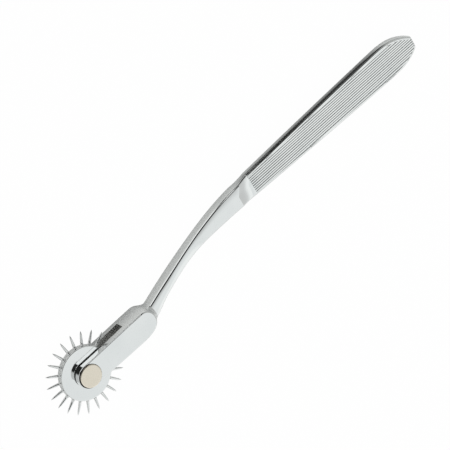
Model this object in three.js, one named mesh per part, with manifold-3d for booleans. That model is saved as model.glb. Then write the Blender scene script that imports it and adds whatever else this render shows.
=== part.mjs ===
// Neurological pinwheel: a wheel with sharp pins that rolls between the two ears of a slotted fork,
// on a one-piece polished handle with a bent neck and a flat ribbed grip.
// Millimetres. +X runs from the wheel to the tail, +Y is the side that the neck rises to, +Z is the axle.
// The origin is the centre of the rear rivet face, the flat face that the wheel end lies on.
import * as THREE from 'three';
import { mergeVertices } from 'three/addons/utils/BufferGeometryUtils.js';
import Module from 'manifold-3d';

// Wheel: a thick polished disc with blind sockets drilled round its rim
const discRadius = 10.1;
const discThickness = 2.8;
const discChamfer = 0.3;
const pinCount = 22;
const firstPinTurn = THREE.MathUtils.degToRad(13.5);

// Pins: a short shank in the socket, a flared foot on the rim and a slim taper ground to a point
const pinReach = 5.5;
const pinFootRadius = 0.78;
const pinFootHeight = 0.55;
const pinRootRadius = 0.56;
const pinNeckRadius = 0.36;
const pinPointLength = 1.3;
const pinPointRadius = 0.05;
const pinShankRadius = 0.42;
const pinShankLength = 2.2;
const pinClearance = 0.12;

// Fork: a block with a straight slot, rounded round the axle and blunt towards the neck
const forkWidth = 9.1;
const forkEdgeRadius = 0.4;
const discSideGap = 0.35;
const earThickness = 2.55;
const slotWidth = discThickness + 2 * discSideGap;
const forkThickness = slotWidth + 2 * earThickness;
const pinTipGap = 4.6;
const slotRootX = discRadius + pinReach + pinTipGap;
const earLead = 0.3;
const shoulderLength = 11.5;
const shoulderTipX = slotRootX + shoulderLength;
const shoulderTipY = 0.7;
const upperCornerLength = 4.2;
const lowerCornerLength = 9.2;
const shoulderFillet = 1.2;

// Axle: a two-part rivet, a hollow post pressed from the front and a pin pressed into it from the rear
const rivetHeadMargin = 0.25;
const rivetHeadRadius = forkWidth / 2 - rivetHeadMargin;
const rivetHeadHeight = 0.5;
const rivetHeadBevel = 0.35;
const rivetHeadBevelHeight = 0.2;
const postRadius = 2.0;
const postWall = 0.7;
const postBoreRadius = postRadius - postWall;
const postEndGap = 0.4;
const postHeadWall = 1.6;
const rivetPinEndGap = 0.4;
const rivetPinClearance = 0.04;
const axleSeatClearance = 0.05;
const hubRunningClearance = 0.1;

// Neck: a bar of even thickness that swings up from the fork to the grip, ending in a hollow ramp
const neckThickness = 4.7;
const neckEdgeRadius = 0.55;
const neckBurial = 3.8;
const neckBuriedX = slotRootX + neckBurial;
const neckLength = 51.3;
const ridgeX = shoulderTipX + neckLength;
const coveLength = 6;
const coveEndX = ridgeX + coveLength;

// Grip: a long flat blade that widens towards the tail, ribbed lengthwise on both faces
const plainBandLength = 1.1;
const gripStartX = coveEndX + plainBandLength;
const gripLength = 84.1;
const tailX = gripStartX + gripLength;
const tailLength = 16.2;
const gripWidestX = tailX - tailLength;
const gripRootAxisY = 12.7;
const gripAxisRise = 0.4;
const gripRootWidth = 9.15;
const gripTailWidth = 13.25;
const gripSwell = 0.6;
const tailFlatWidth = 4.4;
const upperTailPower = 2;
const lowerTailPower = 3;
const gripCoreThickness = 3.0;
const gripEdgeRadius = 0.7;

// Ribs: half-round ridges side by side, cut off along the grip's outline
const ribPitch = 0.86;
const ribHeight = 0.26;
const ribMargin = 0.6;
const ribRoot = 0.2;
const ribTailMargin = 0.35;

// Rounding of the facets
const roundSides = 48;
const discSidesPerPin = 4;
const pinSides = 12;
const outlineSteps = 16;
const cornerSteps = 3;
const neckSteps = 30;
const neckRootSteps = 15;
const coveSteps = 6;
const gripSteps = 12;
const tailSteps = 10;
const ribSteps = 4;
const overrun = 1;

// The neck's stations: its place along the run from the buried end to the grip, its rise as a share of the
// grip's offset, and its width as a share of the grip's width where the ribs begin
const neckRunShares = [0, 0.061, 0.136, 0.212, 0.303, 0.408, 0.545, 0.696, 0.847, 1];
const neckRiseShares = [0.047, 0.063, 0.093, 0.256, 0.445, 0.626, 0.791, 0.906, 0.972, 1];
const neckWidthShares = [0.7, 0.732, 0.661, 0.525, 0.47, 0.426, 0.481, 0.661, 0.82, 1];

const steel = new THREE.MeshStandardMaterial({ color: 0xdde1e4, roughness: 0.08, metalness: 1 });
const pinSteel = new THREE.MeshStandardMaterial({ color: 0xc9cccd, roughness: 0.2, metalness: 1 });
const nickelSilver = new THREE.MeshStandardMaterial({ color: 0xe2dac8, roughness: 0.15, metalness: 1 });

const wasm = await Module();
wasm.setup();

// A closed solid from a geometry, without the collapsed triangles that a pole leaves
function solidOf(geometry) {
  const bare = geometry.clone();
  bare.deleteAttribute('normal');
  bare.deleteAttribute('uv');
  const merged = mergeVertices(bare);
  const corners = merged.index.array;
  const kept = [];
  for (let i = 0; i < corners.length; i += 3) {
    const [a, b, c] = corners.slice(i, i + 3);
    if (a !== b && b !== c && c !== a) kept.push(a, b, c);
  }
  const vertProperties = new Float32Array(merged.attributes.position.array);
  return new wasm.Manifold(new wasm.Mesh({ numProp: 3, vertProperties, triVerts: new Uint32Array(kept) }));
}

function geometryOf(solid) {
  const mesh = solid.getMesh();
  const geometry = new THREE.BufferGeometry();
  geometry.setAttribute('position', new THREE.BufferAttribute(new Float32Array(mesh.vertProperties), 3));
  geometry.setIndex(new THREE.BufferAttribute(new Uint32Array(mesh.triVerts), 1));
  const flat = geometry.toNonIndexed();
  flat.computeVertexNormals();
  return flat;
}

// A straight-sided slab of an outline, centred on the plane of the wheel
function slab(shape, thickness) {
  const geometry = new THREE.ExtrudeGeometry(shape, { depth: thickness, bevelEnabled: false });
  return geometry.translate(0, 0, -thickness / 2);
}

// A turned solid about the Z axis from a closed profile of [radius, height] pairs
function turned(profile, sides) {
  const points = profile.map(([radius, height]) => new THREE.Vector2(radius, height));
  return new THREE.LatheGeometry(points, sides).rotateX(Math.PI / 2);
}

// A solid through rings of equally many points, each convex and seen anticlockwise from the last ring's side
function lofted(rings) {
  const sides = rings[0].length;
  const positions = rings.flat().flatMap((point) => point.toArray());
  const index = [];
  for (let k = 0; k + 1 < rings.length; k += 1) {
    for (let i = 0; i < sides; i += 1) {
      const a = k * sides + i;
      const b = k * sides + ((i + 1) % sides);
      index.push(a, b, a + sides, b, b + sides, a + sides);
    }
  }
  const last = (rings.length - 1) * sides;
  for (let i = 1; i + 1 < sides; i += 1) {
    index.push(0, i + 1, i, last, last + i, last + i + 1);
  }
  const geometry = new THREE.BufferGeometry();
  geometry.setAttribute('position', new THREE.Float32BufferAttribute(positions, 3));
  geometry.setIndex(index);
  return geometry;
}

function shapeOf(points) {
  return new THREE.Shape(points.map(([x, y]) => new THREE.Vector2(x, y)));
}

function steps(from, to, count) {
  return Array.from({ length: count }, (_, i) => from + ((to - from) * i) / count);
}

// Handle, seen from the front: the fork's outline
function forkOutline() {
  const half = forkWidth / 2;
  const outline = new THREE.Shape();
  outline.moveTo(-earLead, half);
  outline.absarc(-earLead, 0, half, Math.PI / 2, -Math.PI / 2, false);
  outline.lineTo(shoulderTipX - lowerCornerLength, -half);
  const lowerX = shoulderTipX - lowerCornerLength;
  outline.absellipse(lowerX, shoulderTipY, lowerCornerLength, half + shoulderTipY, -Math.PI / 2, 0, false);
  const upperX = shoulderTipX - upperCornerLength;
  outline.absellipse(upperX, shoulderTipY, upperCornerLength, half - shoulderTipY, 0, Math.PI / 2, false);
  return outline;
}

// Centre line and width of the neck and grip at a place along the handle
const neckRun = gripStartX - neckBuriedX;
const neckStations = neckRunShares.map((share) => neckBuriedX + share * neckRun);
const neckRows = neckStations.flatMap((_, i) => [
  neckRiseShares[i] * gripRootAxisY,
  neckWidthShares[i] * gripRootWidth,
]);
const neckCurve = new THREE.CubicInterpolant(neckStations, neckRows, 2);

function planAt(x) {
  if (x <= gripStartX) {
    const [centre, width] = neckCurve.evaluate(x);
    return { centre, half: width / 2 };
  }
  const axisY = gripRootAxisY + (gripAxisRise * (x - gripStartX)) / gripLength;
  const taper = Math.min((x - gripStartX) / (gripWidestX - gripStartX), 1);
  const swell = gripSwell * 4 * taper * (1 - taper);
  const width = gripRootWidth + (gripTailWidth - gripRootWidth) * taper + swell;
  const tail = Math.max((x - gripWidestX) / tailLength, 0);
  const tailFall = (gripTailWidth - tailFlatWidth) / 2;
  const upper = width / 2 - tailFall * tail ** upperTailPower;
  const lower = width / 2 - tailFall * tail ** lowerTailPower;
  return { centre: axisY + (upper - lower) / 2, half: (upper + lower) / 2 };
}

// Half the thickness: the neck's, then a hollow ramp behind the ridge, then the grip's
function halfThicknessAt(x) {
  const left = THREE.MathUtils.clamp((coveEndX - x) / coveLength, 0, 1);
  return (gripCoreThickness + (neckThickness - gripCoreThickness) * left ** 2) / 2;
}

// One cross-section of the neck or grip: a rectangle with rounded corners
function sectionRing(x, inset) {
  const { centre, half } = planAt(x);
  const along = THREE.MathUtils.clamp((x - ridgeX) / coveLength, 0, 1);
  const radius = THREE.MathUtils.lerp(neckEdgeRadius, gripEdgeRadius, along);
  const halfY = half - inset - radius;
  const halfZ = halfThicknessAt(x) - inset - radius;
  const ring = [];
  for (let corner = 0; corner < 4; corner += 1) {
    const signY = corner === 0 || corner === 3 ? 1 : -1;
    const signZ = corner < 2 ? 1 : -1;
    for (let k = 0; k <= cornerSteps; k += 1) {
      const turn = ((corner + k / cornerSteps) * Math.PI) / 2;
      const y = centre + signY * halfY + radius * Math.cos(turn);
      ring.push(new THREE.Vector3(x, y, signZ * halfZ + radius * Math.sin(turn)));
    }
  }
  return ring;
}

// Neck and grip in one run of cross-sections, with the tail's edge rounded over
function neckAndGrip() {
  const places = [
    ...steps(neckBuriedX, ridgeX, neckSteps),
    ...steps(ridgeX, coveEndX, coveSteps),
    ...steps(coveEndX, gripWidestX, gripSteps),
    ...steps(gripWidestX, tailX - gripEdgeRadius, tailSteps),
  ];
  const rings = places.map((x) => sectionRing(x, 0));
  for (let k = 0; k <= cornerSteps; k += 1) {
    const turn = (k / cornerSteps) * (Math.PI / 2);
    const x = tailX - gripEdgeRadius * (1 - Math.sin(turn));
    rings.push(sectionRing(x, (gripEdgeRadius * (1 - Math.cos(turn))) / 2));
  }
  return lofted(rings);
}

// The outline of the neck near the fork, as a slab as thick as the fork
function neckRootSlab() {
  const places = steps(neckBuriedX, shoulderTipX + shoulderFillet + overrun, neckRootSteps);
  const inside = (x) => planAt(x).half - neckEdgeRadius;
  const upper = places.map((x) => [x, planAt(x).centre + inside(x)]);
  const lower = places.map((x) => [x, planAt(x).centre - inside(x)]);
  return slab(shapeOf([...lower, ...upper.reverse()]), forkThickness);
}

// The cast fillet where the fork's blunt end stands on the neck's two faces
function shoulderFlare() {
  const points = forkOutline().getPoints(outlineSteps);
  if (points[0].distanceTo(points.at(-1)) < forkEdgeRadius) points.pop();
  const count = points.length;
  const outward = points.map((_, i) => {
    const chord = points[(i + 1) % count].clone().sub(points[(i + count - 1) % count]).normalize();
    return new THREE.Vector2(chord.y, -chord.x);
  });
  const ringAt = (z, reach) =>
    points.map((p, i) => new THREE.Vector3(p.x + outward[i].x * reach, p.y + outward[i].y * reach, z));
  const foot = neckThickness / 2;
  const upper = [];
  for (let k = cornerSteps; k >= 0; k -= 1) {
    const turn = (k / cornerSteps) * (Math.PI / 2);
    const height = shoulderFillet * (1 - Math.sin(turn));
    upper.push([foot + height, shoulderFillet * (1 - Math.cos(turn)) - forkEdgeRadius]);
  }
  const lower = upper.map(([z, reach]) => [-z, reach]).reverse();
  return lofted([...lower, ...upper].map(([z, reach]) => ringAt(z, reach)));
}

// A sheet of half-round ridges side by side, along the whole grip
function ribSheet(side) {
  const widest = gripTailWidth + gripSwell;
  const count = 2 * Math.ceil(widest / ribPitch / 2);
  const left = -(count * ribPitch) / 2;
  const face = gripCoreThickness / 2;
  const shape = new THREE.Shape();
  shape.moveTo(left, face - ribRoot);
  shape.lineTo(-left, face - ribRoot);
  for (let i = count; i > 0; i -= 1) {
    const middle = left + (i - 1 / 2) * ribPitch;
    for (let k = 0; k < ribSteps; k += 1) {
      const turn = (k / ribSteps) * Math.PI;
      shape.lineTo(middle + (ribPitch / 2) * Math.cos(turn), face + ribHeight * Math.sin(turn));
    }
  }
  shape.lineTo(left, face);
  const sheet = new THREE.ExtrudeGeometry(shape, { depth: gripLength, bevelEnabled: false });
  const yAxis = new THREE.Vector3(0, 1, 0);
  const zAxis = new THREE.Vector3(0, 0, 1);
  const xAxis = new THREE.Vector3(1, 0, 0);
  sheet.applyMatrix4(new THREE.Matrix4().makeBasis(yAxis, zAxis, xAxis));
  if (side < 0) sheet.rotateX(Math.PI);
  return sheet.translate(gripStartX, gripRootAxisY + gripAxisRise / 2, 0);
}

// Where the ribs may lie: the grip's outline drawn in by a plain margin
function ribField() {
  const endX = tailX - ribTailMargin;
  const straight = steps(gripStartX, gripWidestX, gripSteps);
  const places = [...straight, ...steps(gripWidestX, endX, tailSteps), endX];
  const upper = places.map((x) => [x, planAt(x).centre + planAt(x).half - ribMargin]);
  const lower = places.map((x) => [x, planAt(x).centre - planAt(x).half + ribMargin]);
  return slab(shapeOf([...lower, ...upper.reverse()]), neckThickness);
}

function handleSolid() {
  const forkBevel = {
    depth: forkThickness - 2 * forkEdgeRadius,
    bevelThickness: forkEdgeRadius,
    bevelSize: forkEdgeRadius,
    bevelOffset: -forkEdgeRadius,
    bevelSegments: cornerSteps,
    curveSegments: outlineSteps,
  };
  const block = new THREE.ExtrudeGeometry(forkOutline(), forkBevel);
  block.translate(0, 0, -forkThickness / 2 + forkEdgeRadius);
  const flare = solidOf(shoulderFlare()).intersect(solidOf(neckRootSlab()));
  const field = solidOf(ribField());
  const ribs = [1, -1].map((side) => solidOf(ribSheet(side)).intersect(field));
  const bar = solidOf(neckAndGrip());
  const casting = [bar, flare, ...ribs].reduce((sum, piece) => sum.add(piece), solidOf(block));
  const slotLength = slotRootX + forkWidth;
  const slot = new THREE.BoxGeometry(slotLength, forkWidth + 2 * overrun, slotWidth);
  slot.translate(slotRootX - slotLength / 2, 0, 0);
  const boreRadius = postRadius + axleSeatClearance;
  const bore = new THREE.CylinderGeometry(boreRadius, boreRadius, forkThickness + 2 * overrun, roundSides);
  bore.rotateX(Math.PI / 2);
  return casting.subtract(solidOf(slot)).subtract(solidOf(bore));
}

// Wheel disc: chamfered rim, hub bore and one blind socket for each pin
function discSolid() {
  const half = discThickness / 2;
  const bore = postRadius + hubRunningClearance;
  const profile = [
    [bore, -half],
    [discRadius - discChamfer, -half],
    [discRadius, -half + discChamfer],
    [discRadius, half - discChamfer],
    [discRadius - discChamfer, half],
    [bore, half],
    [bore, -half],
  ];
  const disc = solidOf(turned(profile, pinCount * discSidesPerPin));
  const socketRadius = pinShankRadius + pinClearance;
  const depth = pinShankLength + pinClearance;
  const sockets = pinTurns().map((turn) => {
    const socket = new THREE.CylinderGeometry(socketRadius, socketRadius, depth + overrun, pinSides);
    socket.rotateZ(-Math.PI / 2).translate(discRadius + (overrun - depth) / 2, 0, 0);
    return solidOf(socket.rotateZ(turn));
  });
  return sockets.reduce((rest, socket) => rest.subtract(socket), disc);
}

function pinTurns() {
  return Array.from({ length: pinCount }, (_, i) => firstPinTurn + (i * 2 * Math.PI) / pinCount);
}

// One pin, lying along +X with its foot on the rim
function pinGeometry() {
  const profile = [
    [0, -pinShankLength],
    [pinShankRadius, -pinShankLength],
    [pinShankRadius, pinClearance],
    [pinFootRadius, pinClearance],
    [pinRootRadius, pinFootHeight],
    [pinNeckRadius, pinReach - pinPointLength],
    [pinPointRadius, pinReach],
    [0, pinReach],
  ];
  return turned(profile, pinSides).rotateY(Math.PI / 2).translate(discRadius, 0, 0);
}

// Rivet post: the front head with its hollow shank
function postGeometry() {
  const face = forkThickness / 2;
  const top = face + rivetHeadHeight;
  const profile = [
    [postBoreRadius, -face + postEndGap],
    [postRadius, -face + postEndGap],
    [postRadius, face],
    [rivetHeadRadius, face],
    [rivetHeadRadius, top - rivetHeadBevelHeight],
    [rivetHeadRadius - rivetHeadBevel, top],
    [0, top],
    [0, face - postHeadWall],
    [postBoreRadius, face - postHeadWall],
    [postBoreRadius, -face + postEndGap],
  ];
  return turned(profile, roundSides);
}

// Rivet cap: the rear head with the pin that is pressed up the post
function capGeometry() {
  const face = -forkThickness / 2;
  const bottom = face - rivetHeadHeight;
  const pinRadius = postBoreRadius - rivetPinClearance;
  const profile = [
    [0, bottom],
    [rivetHeadRadius - rivetHeadBevel, bottom],
    [rivetHeadRadius, bottom + rivetHeadBevelHeight],
    [rivetHeadRadius, face],
    [pinRadius, face],
    [pinRadius, forkThickness / 2 - postHeadWall - rivetPinEndGap],
    [0, forkThickness / 2 - postHeadWall - rivetPinEndGap],
  ];
  return turned(profile, roundSides);
}

function named(name, geometry, material) {
  const mesh = new THREE.Mesh(geometry, material);
  mesh.name = name;
  return mesh;
}

const pinwheel = new THREE.Group();
const atAxle = new THREE.Group();
atAxle.position.z = forkThickness / 2 + rivetHeadHeight;
pinwheel.add(atAxle);
atAxle.add(named('handle', geometryOf(handleSolid()), steel));
atAxle.add(named('rivet_post', geometryOf(solidOf(postGeometry())), nickelSilver));
atAxle.add(named('rivet_cap', geometryOf(solidOf(capGeometry())), nickelSilver));
atAxle.add(named('wheel_disc', geometryOf(discSolid()), steel));
pinTurns().forEach((turn, i) => {
  const arm = new THREE.Group();
  arm.rotation.z = turn;
  arm.add(named(`pin_${String(i + 1).padStart(2, '0')}`, geometryOf(solidOf(pinGeometry())), pinSteel));
  atAxle.add(arm);
});

export default pinwheel;
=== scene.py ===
# %% [markdown]
# # A neurological pinwheel
# This instrument is a small wheel of sharp pins that a doctor rolls over the skin. It spins in a slotted
# fork, on a handle that is forged in one piece, polished and plated.
# The construction comes ready as a frame: every part at its real size and place, and the joint that the
# wheel turns on. This file gives each part its fine surface and its finish, and never moves a part.

# %% Load the frame
import math

import bpy
import numpy as np
from mathutils import Matrix, Vector


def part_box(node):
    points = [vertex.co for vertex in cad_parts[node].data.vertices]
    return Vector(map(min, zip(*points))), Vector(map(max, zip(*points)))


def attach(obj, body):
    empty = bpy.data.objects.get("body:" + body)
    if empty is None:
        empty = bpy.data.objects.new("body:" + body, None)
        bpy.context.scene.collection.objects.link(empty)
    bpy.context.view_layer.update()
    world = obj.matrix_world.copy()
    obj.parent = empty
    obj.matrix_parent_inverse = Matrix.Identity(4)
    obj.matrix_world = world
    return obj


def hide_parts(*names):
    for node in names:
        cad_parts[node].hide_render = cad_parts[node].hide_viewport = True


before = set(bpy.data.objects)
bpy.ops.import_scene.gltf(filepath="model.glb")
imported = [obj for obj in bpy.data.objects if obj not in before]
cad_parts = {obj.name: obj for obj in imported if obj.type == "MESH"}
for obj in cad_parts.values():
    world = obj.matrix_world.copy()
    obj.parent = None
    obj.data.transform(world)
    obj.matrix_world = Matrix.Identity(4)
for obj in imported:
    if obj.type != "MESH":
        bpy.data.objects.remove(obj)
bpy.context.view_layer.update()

# %% [markdown]
# Lengths are in metres, as everywhere in Blender. The sizes that the frame knows are read from its boxes,
# so that the fine surfaces stay on the construction. The rest are the smaller sizes of each part, in
# millimetres times `mm`. The real fork and its front rivet head look a little fuller than the frame's, so
# each is grown here by a small amount that stays within what the frame's box allows.

# %% Sizes that the frame gives
mm = 0.001
disc_low, disc_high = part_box("wheel_disc")
handle_low, handle_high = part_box("handle")
post_low, post_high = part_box("rivet_post")
cap_low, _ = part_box("rivet_cap")
fork_extra = 0.15 * mm
head_extra = 0.1 * mm
axle_z = (disc_low.z + disc_high.z) / 2
disc_radius = (disc_high.x - disc_low.x) / 2
fork_half = (handle_high.z - handle_low.z) / 2 + fork_extra
tail_x = handle_high.x
ear_end_x = handle_low.x
head_radius = (post_high.x - post_low.x) / 2
head_top_z = post_high.z + head_extra
print(f"disc {2 * disc_radius / mm:.1f} mm across, handle {(tail_x - ear_end_x) / mm:.1f} mm long")

# %% [markdown]
# ## Camera
# The photograph was taken from the front and above with a long lens, so its lines hardly converge. The lens,
# the place and the point looked at are given. The roll turns the picture until the handle rises to
# the right.

# %% Camera
camera_place = Vector((-0.1982, 0.4542, 0.7595))
camera_target = Vector((0.07376, 0.00677, 0.0048))
camera_roll = math.radians(111.654)
camera_lens = 204.5

camera_data = bpy.data.cameras.new("camera")
camera_data.lens = camera_lens
camera_data.clip_start = 0.01
camera = bpy.data.objects.new("camera", camera_data)
bpy.context.scene.collection.objects.link(camera)
look = camera_target - camera_place
level = look.to_track_quat("-Z", "Y").to_matrix().to_4x4()
camera.matrix_world = Matrix.Translation(camera_place) @ level @ Matrix.Rotation(camera_roll, 4, "Z")
bpy.context.scene.camera = camera
print(f"camera {look.length:.3f} m from what it looks at")

# %% [markdown]
# ## Mesh helpers
# Small helpers serve every part. One turns points, faces and edges into an object. Two set the normals one
# by one. On a mirror finish, the normals are what the eye reads: a flat face has to reflect like a plane
# right up to its rounded edge. So each vertex takes the mean of its faces' normals, weighted by the square of
# their area, and the large flat faces win.

# %% Mesh helpers
def mesh_object(name, points, faces=(), edges=()):
    mesh = bpy.data.meshes.new(name)
    mesh.from_pydata([tuple(p) for p in points], list(edges), [tuple(f) for f in faces])
    mesh.update()
    made = bpy.data.objects.new(name, mesh)
    bpy.context.scene.collection.objects.link(made)
    return made


def set_normals(made, normals):
    mesh = made.data
    mesh.polygons.foreach_set("use_smooth", [True] * len(mesh.polygons))
    mesh.normals_split_custom_set_from_vertices([tuple(n) for n in normals])


def flat_faces_win(made):
    mesh = made.data
    sums = np.zeros((len(mesh.vertices), 3))
    for face in mesh.polygons:
        sums[list(face.vertices)] += np.array(face.normal) * face.area**2
    set_normals(made, sums / np.linalg.norm(sums, axis=1, keepdims=True))


def describe(made):
    low, high = np.array(made.bound_box).min(0) / mm, np.array(made.bound_box).max(0) / mm
    size = " x ".join(f"{s:.1f}" for s in high - low)
    print(f"{made.name}: {len(made.data.polygons)} faces, {size} mm")


print("mesh helpers ready")

# %% [markdown]
# ## Handle outline
# Seen from the front, the handle is a fork with a round end, a bent neck and a long grip. The neck follows a
# smooth spline through a few stations. A station's place, rise and width are shares of the neck's length, of
# the grip's offset and of the grip's width where the ribs begin. A hollow ramp, with a ridge at its front,
# leads from the thicker neck down to the thin grip.

# %% Neck and grip sizes
neck_buried_x = 24 * mm
neck_half = 2.35 * mm
neck_crown = 0.27 * mm
neck_edge_radius = 0.66 * mm
neck_root_growth = 0.35 * mm
neck_growth_start_x = 62 * mm
neck_growth_full_x = 42 * mm
ridge_x = 83 * mm
ridge_swing = 2.5 * mm
cove_end_x = 89 * mm
grip_start_x = 90.1 * mm
grip_widest_x = tail_x - 16.2 * mm
grip_root_y = 12.75 * mm
grip_axis_rise = 0.55 * mm
grip_root_width = 9.55 * mm
grip_tail_width = 13.85 * mm
grip_swell = 0.3 * mm
grip_half = 1.5 * mm
grip_edge_radius = 0.85 * mm
grip_edge_full_x = cove_end_x + 1.5 * mm
tail_flat_width = 4.4 * mm
tail_drop = 0.85 * mm
tail_roundness_below = 3.6
tail_roundness_above = 2.6
neck_run_shares = [0, 0.061, 0.136, 0.212, 0.303, 0.408, 0.545, 0.696, 0.847, 0.935, 1]
neck_rise_shares = [-0.02, 0.0, 0.088, 0.257, 0.439, 0.618, 0.794, 0.909, 0.969, 0.984, 1]
neck_width_shares = [0.516, 0.588, 0.61, 0.52, 0.455, 0.437, 0.51, 0.687, 0.832, 0.902, 1]
print(f"neck of {len(neck_run_shares)} stations, {(grip_start_x - neck_buried_x) / mm:.1f} mm long")


# %% [markdown]
# A natural cubic spline has no kink in its curvature, and a kink would show in a mirror finish. NumPy has
# none, so it is worked out here: one small set of equations gives the bend at each station.

# %% Spline
def eased(x, start, end):
    share = np.clip((x - start) / (end - start), 0, 1)
    return share * share * (3 - 2 * share)


class Spline:
    def __init__(self, places, values):
        self.x = np.array(places, float)
        self.y = np.array(values, float)
        gap = np.diff(self.x)
        rise = np.diff(self.y) / gap
        system = np.eye(len(self.x))
        answer = np.zeros(len(self.x))
        for i in range(1, len(self.x) - 1):
            system[i, i - 1 : i + 2] = gap[i - 1], 2 * (gap[i - 1] + gap[i]), gap[i]
            answer[i] = 6 * (rise[i] - rise[i - 1])
        self.bend = np.linalg.solve(system, answer)

    def __call__(self, at):
        at = np.clip(at, self.x[0], self.x[-1])
        i = np.clip(np.searchsorted(self.x, at) - 1, 0, len(self.x) - 2)
        gap = self.x[i + 1] - self.x[i]
        a = (self.x[i + 1] - at) / gap
        b = 1 - a
        bent = (a**3 - a) * self.bend[i] + (b**3 - b) * self.bend[i + 1]
        return a * self.y[i] + b * self.y[i + 1] + bent * gap**2 / 6


neck_places = neck_buried_x + np.array(neck_run_shares) * (grip_start_x - neck_buried_x)
neck_rise = Spline(neck_places, np.array(neck_rise_shares) * grip_root_y)
neck_width = Spline(neck_places, np.array(neck_width_shares) * grip_root_width)
print("neck half way", [round(float(s(neck_places.mean())) / mm, 2) for s in (neck_rise, neck_width)])

# %% [markdown]
# The outline gives the lower and upper edge at any place. The thickness belongs to the same places: the neck
# grows towards its root, and the ramp thins it to the grip. The polished faces are not quite flat. They
# fall off a little from the middle line to the edges, as hand polishing leaves them.

# %% Outline and thickness
def outline(x):
    """Lower and upper edge of the neck and grip at places along the handle."""
    run = np.clip((x - grip_start_x) / (tail_x - grip_start_x), 0, 1)
    taper = np.clip((x - grip_start_x) / (grip_widest_x - grip_start_x), 0, 1)
    tail = np.clip((x - grip_widest_x) / (tail_x - grip_widest_x), 0, 1)
    swell = grip_swell * 4 * taper * (1 - taper)
    width = neck_width(x) + (grip_tail_width - grip_root_width) * taper + swell
    axis = neck_rise(x) + grip_axis_rise * run
    fall = (grip_tail_width - tail_flat_width) / 2
    low = axis - width / 2 + (fall - tail_drop) * tail**tail_roundness_below
    high = axis + width / 2 - (fall + tail_drop) * tail**tail_roundness_above
    return low, high


def share_across(x, y):
    """-1 at the lower edge, 0 on the middle line and 1 at the upper edge."""
    low, high = outline(x)
    return np.clip((2 * y - low - high) / (high - low), -1, 1)


def share_before_grip(x):
    """1 along the neck, falling to 0 where the hollow ramp ends."""
    return np.clip((cove_end_x - x) / (cove_end_x - ridge_x), 0, 1)


def half_thickness(x):
    """The neck's, then a hollow ramp behind the ridge, then the grip's."""
    growth = neck_root_growth * eased(x, neck_growth_start_x, neck_growth_full_x)
    return grip_half + (neck_half - grip_half) * share_before_grip(x) ** 2 + growth


def hollow_thickness(x, y, z):
    """As above, but in front the ridge swings towards the tail near the handle's upper edge."""
    swing = ridge_swing * eased(share_across(x, y), 0, 1) * (z > axle_z)
    return half_thickness(x - swing)


def crown(x, y):
    """How far the neck's polished faces fall off from their middle line."""
    return neck_crown * share_across(x, y) ** 2 * share_before_grip(x)


print("grip edges at its widest", [round(float(e) / mm, 2) for e in outline(grip_widest_x)])

# %% [markdown]
# ## Handle surface
# The handle is one forging: flat faces, rounded edges and a soft fillet where the fork meets the neck. Cut
# and joined meshes would leave ragged shading on those fillets. So the form is written as a distance: a
# function that is negative inside the metal and grows evenly outside it. Rounded joins are then one line
# each. A grid of samples finds where the distance is zero, and a quad mesh is laid through those cells.

# %% Distance helpers
def rounded_slab(across, through, radius):
    """A flat body with rounded edges, from the distances to its outline and to its faces."""
    a = across + radius
    b = through + radius
    return np.minimum(np.maximum(a, b), 0) + np.hypot(np.maximum(a, 0), np.maximum(b, 0)) - radius


def filleted_union(a, b, radius):
    hollow = np.hypot(np.maximum(radius - a, 0), np.maximum(radius - b, 0))
    return np.maximum(radius, np.minimum(a, b)) - hollow


def rounded_cut(a, b, radius):
    swell = np.hypot(np.maximum(radius + a, 0), np.maximum(radius - b, 0))
    return np.minimum(-radius, np.maximum(a, -b)) + swell


def corner_distance(x, y, length, height, fullness=2.0):
    """Distance to a quarter ellipse, which a fullness above 2 swells towards its corner."""
    x, y = np.abs(x / length), np.abs(y / height)
    reach = (x**fullness + y**fullness) ** (1 / fullness)
    slope = np.hypot(x ** (fullness - 1) / length, y ** (fullness - 1) / height)
    return reach ** (fullness - 1) * (reach - 1) / np.maximum(slope, 1)


print("middle of a 2 mm slab", round(float(rounded_slab(-5 * mm, -1 * mm, 0.4 * mm)) / mm, 2), "mm")

# %% [markdown]
# The fork has a round end at the ears, two straight sides and a blunt shoulder. The shoulder's corners are
# quarter ellipses, and the lower one is longer and fuller. The fork rises and widens slightly towards the
# shoulder, whose wall bulges where the neck comes out of it.

# %% Fork sizes
fork_width = 9.1 * mm
fork_rise = 0.008
fork_growth = 0.2 * mm
fork_growth_start_x = 2 * mm
fork_growth_full_x = 24 * mm
fork_edge_radius = 0.4 * mm
ear_lead = 0.3 * mm
slot_width = 3.85 * mm
slot_root_x = 20.2 * mm
slot_edge_radius = 0.12 * mm
axle_bore_radius = 2.05 * mm
side_crown = 0.25 * mm
side_crown_start_x = 8 * mm
side_crown_full_x = 24 * mm
shoulder_tip_x = 31.7 * mm
shoulder_tip_y = 0.7 * mm
shoulder_crown = 1.2 * mm
upper_corner_length = 4.2 * mm
lower_corner_length = 9.2 * mm
lower_corner_fullness = 2.7
shoulder_fillet = 0.85 * mm
shoulder_fillet_growth = 0.3 * mm
shoulder_fillet_start_y = 0.5 * mm
print(f"fork {fork_width / mm:.1f} mm wide, {2 * fork_half / mm:.1f} mm thick")


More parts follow.
